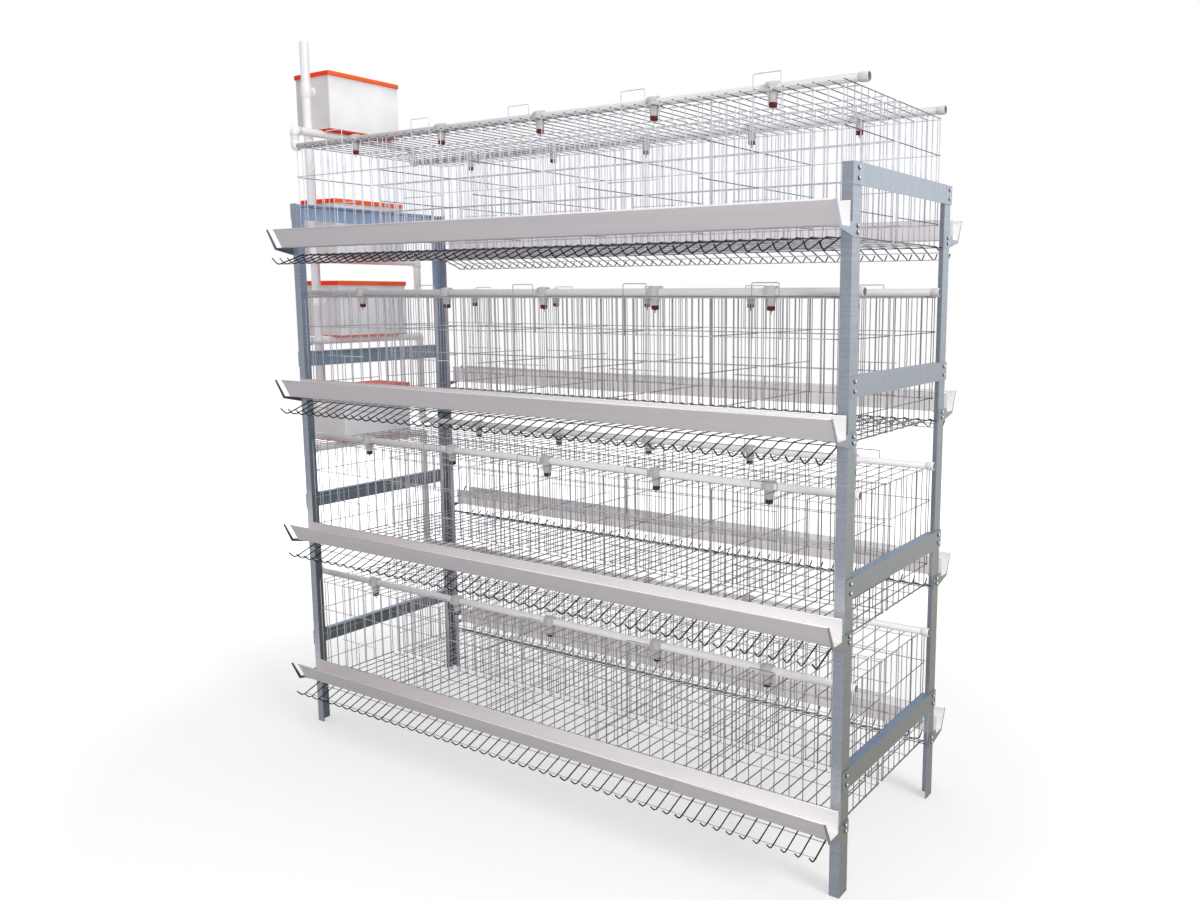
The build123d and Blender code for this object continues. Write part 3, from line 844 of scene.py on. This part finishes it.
def saddle_arc(radius):
    """An arc over the pipe from SADDLE_LOW degrees on one side to as low on the other."""
    sweep = 180 - 2 * SADDLE_LOW
    angles = [math.radians(SADDLE_LOW + sweep * k / SADDLE_STEPS) for k in range(SADDLE_STEPS + 1)]
    return [(radius * math.cos(angle), radius * math.sin(angle)) for angle in angles]


saddle_shape = [(SADDLE_FOOT_HALF, SADDLE_FOOT), (SADDLE_SHOULDER_HALF, SADDLE_SHOULDER)]
saddle_shape += saddle_arc(SADDLE_OUTER)
saddle_shape += [(-SADDLE_SHOULDER_HALF, SADDLE_SHOULDER), (-SADDLE_FOOT_HALF, SADDLE_FOOT)]
saddle_shape += [(-SADDLE_INNER, SADDLE_FOOT)]
saddle_shape += reversed(saddle_arc(SADDLE_INNER))
saddle_shape += [(SADDLE_INNER, SADDLE_FOOT)]
# Each band is a share of the saddle's half length and how much its outside grows there.
saddle_bands = (
    (-1.0, 0.93), (-0.92, 1.0), (-0.34, 1.0), (-0.28, 1.06),
    (0.28, 1.06), (0.34, 1.0), (0.92, 1.0), (1.0, 0.93),
)
# Pin, drip cap and body, as radius and height from the pipe's underside.
valve_profile = [
    (1.4, -47.8), (2.0, -47.0), (2.0, -43.0), (3.4, -39.0), (4.5, -38.0),
    (10.6, -37.6), (11.2, -36.0), (11.2, -27.0), (10.9, -26.0), (10.8, -25.8),
    (11.4, -24.5), (12.0, -16.0), (12.6, -8.0), (13.2, -2.5), (13.0, 0.0),
]
valve_mats = [VALVE_PIN] * 3 + [VALVE_CAP] * 6 + [VALVE_BODY] * 5
saddles = Mesh()
valves = Mesh()
for top, side in each_row():
    y = side * LINE_Y
    for x in NIPPLE_XS:
        rings = []
        for share, grow in saddle_bands:
            ring = []
            for u, v in saddle_shape:
                outer = math.hypot(u, v) > SADDLE_INNER + 1.0 and v > SADDLE_SHOULDER - 0.5
                wide = grow if outer else 1.0
                ring.append((x + SADDLE_HALF * share, y + u * wide, top + LINE_LEVEL + v * wide))
            rings.append(ring)
        saddles.loft(rings)
        valves.lathe(valve_profile, (x, y, top + ROOF), "z", VALVE_SIDES, valve_mats)
saddles.make("nipple_saddle_clips", [saddle_grey], "nipple_saddles")
valves.make("nipple_valve_bodies", [body_grey, cap_red, pin_steel], "nipple_valves")


def box_rings(length, depth, rows, base):
    """Rings of a moulded box from rows of height, cut off its length and depth, and corner radius."""
    return [rounded_rect(length - cut, depth - cut, radius, base + height) for height, cut, radius in rows]


# Tanks: a moulded box, open under its lid, with a red foot.
TANK_SHELL, TANK_FOOT = range(2)
tank_rows = [
    (0.0, 9.0, 3.0), (0.0, 2.0, 5.0), (1.5, 0.4, TANK_ROUND), (4.0, 0.0, TANK_ROUND),
    (TANK_HEIGHT, 0.0, TANK_ROUND), (TANK_HEIGHT, 2 * TANK_WALL, 4.0),
    (10.0, 2 * TANK_WALL, 4.0), (TANK_WALL, 3 * TANK_WALL, 3.0),
]
tank_mats = [TANK_FOOT] * 3 + [TANK_SHELL] * 4
tanks = Mesh()
for base in TANK_FLOORS:
    tanks.loft(box_rings(TANK_LENGTH, TANK_DEPTH, tank_rows, base), tank_mats)
tanks.make("tank_bodies", [tank_white, lid_red], "water_tanks")

# Lids: a skirt around the rim and a sunk panel on top.
lid_rows = [
    (LID_SKIRT, 6.0, 5.0), (0.0, 6.0, 5.0), (0.0, 1.0, 6.0), (1.2, 0.0, 6.5), (LID_HEIGHT - 3.0, 0.0, 6.5),
    (LID_HEIGHT - 0.8, 1.6, 6.0), (LID_HEIGHT, 6.0, 5.0), (LID_HEIGHT, 22.0, 5.0),
    (LID_HEIGHT - 1.2, 25.0, 5.0),
]
for tier, base in enumerate(TANK_FLOORS, start=1):
    lid = Mesh()
    lid.loft(box_rings(LID_LENGTH, LID_DEPTH, lid_rows, base + TANK_HEIGHT - LID_SKIRT))
    lid.make(f"tank_lid_{tier}_cover", [lid_red], f"tank_lid_{tier}", f"tank_lid_{tier}")

# Outlet pipes with moulded elbows.
OUTLET_BEND, OUTLET_STEPS = 16.0, 6
ELBOW_BEND, ELBOW_STEPS = 12.0, 5
ELBOW_RADIUS = 15.7
ELBOW_REACH = 20.0
outlets = Mesh()
for base, top in zip(TANK_FLOORS, TOPS):
    z_cross = base - OUTLET_RADIUS
    z_line = top + LINE_LEVEL
    route = [
        (OUTLET_X, -LINE_Y, z_line), (OUTLET_X, -LINE_Y, z_cross),
        (OUTLET_X, LINE_Y, z_cross), (OUTLET_X, LINE_Y, z_line),
    ]
    outlets.tube(round_path(route, OUTLET_BEND, OUTLET_STEPS), OUTLET_RADIUS, OUTLET_SIDES)
    for _, side in SIDES:
        y = side * LINE_Y
        low = [
            (OUTLET_X, y, z_line + ELBOW_REACH),
            (OUTLET_X, y, z_line),
            (OUTLET_X + OUTLET_BLOCK / 2, y, z_line),
        ]
        high = [
            (OUTLET_X, y, z_cross - ELBOW_REACH),
            (OUTLET_X, y, z_cross),
            (OUTLET_X, y - side * ELBOW_REACH, z_cross),
        ]
        for elbow in (low, high):
            outlets.tube(round_path(elbow, ELBOW_BEND, ELBOW_STEPS), ELBOW_RADIUS, OUTLET_SIDES)
outlets.make("outlet_pipes", [riser_white], "tank_outlets")

# Supply riser: a pipe, open at its top, with a tee, a stub and a collar at each tank.
RISER_WALL = 3.4
RISER_BORE = 47.0
TEE_RADIUS, TEE_HALF = 18.2, 24.0
TEE_BEVEL, TEE_EDGE = 0.6, 1.0
COLLAR_RADIUS, COLLAR_LENGTH, COLLAR_BEVEL = 16.4, 6.0, 1.0
STUB_GAP = 0.2
riser_foot = TANK_FLOORS[-1] + STUB_RISE - 2 * RISER_RADIUS
wall_y = -TANK_DEPTH / 2 - STUB_GAP
riser_profile = [
    (RISER_RADIUS, riser_foot), (RISER_RADIUS, RISER_TOP - 5.0), (RISER_RADIUS - 0.6, RISER_TOP - 1.5),
    (RISER_RADIUS - 1.6, RISER_TOP), (RISER_RADIUS - RISER_WALL, RISER_TOP),
    (RISER_RADIUS - RISER_WALL, RISER_TOP - RISER_BORE),
]
tee_profile = [
    (TEE_RADIUS - TEE_BEVEL, -TEE_HALF), (TEE_RADIUS, TEE_EDGE - TEE_HALF),
    (TEE_RADIUS, TEE_HALF - TEE_EDGE), (TEE_RADIUS - TEE_BEVEL, TEE_HALF),
]
stub_profile = [(STUB_RADIUS, -RISER_Y), (STUB_RADIUS, wall_y)]
collar_profile = [
    (COLLAR_RADIUS, wall_y - COLLAR_LENGTH), (COLLAR_RADIUS, wall_y - COLLAR_BEVEL),
    (COLLAR_RADIUS - COLLAR_BEVEL, wall_y),
]
riser = Mesh()
riser.lathe(riser_profile, (RISER_X, -RISER_Y, 0), "z", PIPE_SIDES)
for base in TANK_FLOORS:
    z = base + STUB_RISE
    riser.lathe(tee_profile, (RISER_X, -RISER_Y, z), "z", PIPE_SIDES)
    for profile in (stub_profile, collar_profile):
        riser.lathe(profile, (RISER_X, 0, z), "y", OUTLET_SIDES)
riser.make("riser_pipes", [riser_white], "supply_riser")

# Bolt heads with washers on the beams and brackets. Each washer sits a little low on its bolt, so that its
# painted black shadow shows below the head's painted highlight.
BOLT_Y = HALF_DEPTH - 24.0
BEAM_BOLT_DROPS = (13.0, 38.0)
BRACKET_BOLT_DROPS = (151.0, 167.0)
WASHER_SINK, HEAD_RISE = 1.0, 1.2
HEAD, WASHER = range(2)
washer_profile = [(5.8, 0.0), (5.8, 0.9), (5.4, 1.3)]
head_profile = [(3.8, 1.3), (3.9, 4.2), (3.1, 5.0)]
bolts = Mesh()


def bolt(x, y, z, out):
    """A washer and a hexagon head that stand out along X."""
    washer = [(radius, out * height) for radius, height in washer_profile]
    head = [(radius, out * height) for radius, height in head_profile]
    bolts.lathe(washer, (x, y, z - WASHER_SINK), "x", WASHER_SIDES, WASHER)
    bolts.lathe(head, (x, y, z + HEAD_RISE), "x", HEAD_SIDES, HEAD)


for top, side in each_row():
    for out in (-1, 1):
        for drop in BEAM_BOLT_DROPS:
            bolt(MID_X + out * BEAM_FACE, side * BOLT_Y, top - drop, out)
        for drop in BRACKET_BOLT_DROPS:
            bolt(MID_X + out * (HALF_LENGTH + BRACKET_SHEET), side * BOLT_Y, top - drop, out)
bolts.make("frame_bolts", [bolt_steel, washer_painted_shadow])


def seen(nodes, links, low, high):
    """A value that is high for camera, glossy and transmission rays and low for the rest."""
    path = nodes.new("ShaderNodeLightPath")
    value = path.outputs["Is Camera Ray"]
    for ray in ("Is Glossy Ray", "Is Transmission Ray"):
        either = nodes.new("ShaderNodeMath")
        either.operation = "MAXIMUM"
        links.new(value, either.inputs[0])
        links.new(path.outputs[ray], either.inputs[1])
        value = either.outputs[0]
    switch = nodes.new("ShaderNodeMapRange")
    switch.inputs["To Min"].default_value = low
    switch.inputs["To Max"].default_value = high
    links.new(value, switch.inputs["Value"])
    return switch.outputs["Result"]


# A pale floor that meets the white background without an edge. Its glow grows between two distances, in
# metres.
FLOOR_REACH = 14.0
FLOOR_CORNERS = ((-1, -1), (1, -1), (1, 1), (-1, 1))
FLOOR_BOUNCE = 0.30
FLOOR_PALE = 0.75
FLOOR_GLOW = 0.29
FLOOR_FAR_GLOW = 0.75
GLOW_START, GLOW_END = 1.5, 4.0
plane = bpy.data.meshes.new("studio_floor")
plane.from_pydata([(x * FLOOR_REACH, y * FLOOR_REACH, 0) for x, y in FLOOR_CORNERS], [], [(0, 1, 2, 3)])
ground = bpy.data.objects.new("studio_floor", plane)
bpy.context.scene.collection.objects.link(ground)
floor_shader = Shader("studio_floor", rough=0.9, metal=0.0, specular=0.0)
floor_shader.colour(seen(floor_shader.nodes, floor_shader.links, FLOOR_BOUNCE, FLOOR_PALE))
glow = seen(floor_shader.nodes, floor_shader.links, 0.0, 1.0)
reach = floor_shader.span(floor_shader.distance(), FLOOR_GLOW, FLOOR_FAR_GLOW, GLOW_START, GLOW_END)
floor_shader.links.new(floor_shader.multiply(reach, glow), floor_shader.bsdf.inputs["Emission Color"])
floor_shader.bsdf.inputs["Emission Strength"].default_value = 1.0
plane.materials.append(floor_shader.material)

# The world is white to the camera and in reflections, and lights the object less than that.
AMBIENT = 0.45
world = bpy.data.worlds.new("studio")
bpy.context.scene.world = world
world.use_nodes = True
background = world.node_tree.nodes["Background"]
background.inputs["Color"].default_value = (1, 1, 1, 1)
level = seen(world.node_tree.nodes, world.node_tree.links, AMBIENT, 1.0)
world.node_tree.links.new(level, background.inputs["Strength"])


def area_light(name, place, aim, size, power, fill=False):
    """A soft disc lamp; a fill casts no shadow and no highlight."""
    data = bpy.data.lights.new(name, "AREA")
    data.shape = "DISK"
    data.size = size
    data.energy = power
    data.use_shadow = not fill
    lamp = bpy.data.objects.new(name, data)
    lamp.location = place
    lamp.rotation_euler = (Vector(aim) - Vector(place)).to_track_quat("-Z", "Y").to_euler()
    lamp.visible_glossy = not fill
    bpy.context.scene.collection.objects.link(lamp)


area_light("key", place=(8.0, -2.0, 4.5), aim=(0.0, 0.0, 1.3), size=3.5, power=290)
area_light("front", place=(2.2, -5.5, 2.6), aim=(0.0, 0.0, 1.1), size=3.0, power=150, fill=True)
area_light("back", place=(-6.0, 4.0, 3.5), aim=(-0.3, 0.0, 1.3), size=3.5, power=170, fill=True)
area_light("top", place=(-0.3, 0.6, 5.0), aim=(0.0, 0.0, 1.0), size=3.5, power=40)

# The camera, solved from the photo. Its place is in metres, with X from the middle of the row.
CAMERA_X, CAMERA_Y, CAMERA_Z = 2.1211, -2.6563, 1.5799
CAMERA_TILT, CAMERA_TURN = math.radians(81.97), math.radians(32.61)
lens = bpy.data.cameras.new("camera")
lens.sensor_width = 36.0
lens.lens = 30.704
lens.shift_x = -0.0855
lens.shift_y = -0.0081
camera = bpy.data.objects.new("camera", lens)
camera.location = (CAMERA_X + MID_X * MM, CAMERA_Y, CAMERA_Z)
camera.rotation_euler = (CAMERA_TILT, 0.0, CAMERA_TURN)
bpy.context.scene.collection.objects.link(camera)
bpy.context.scene.camera = camera
bpy.context.scene.view_settings.view_transform = "Standard"
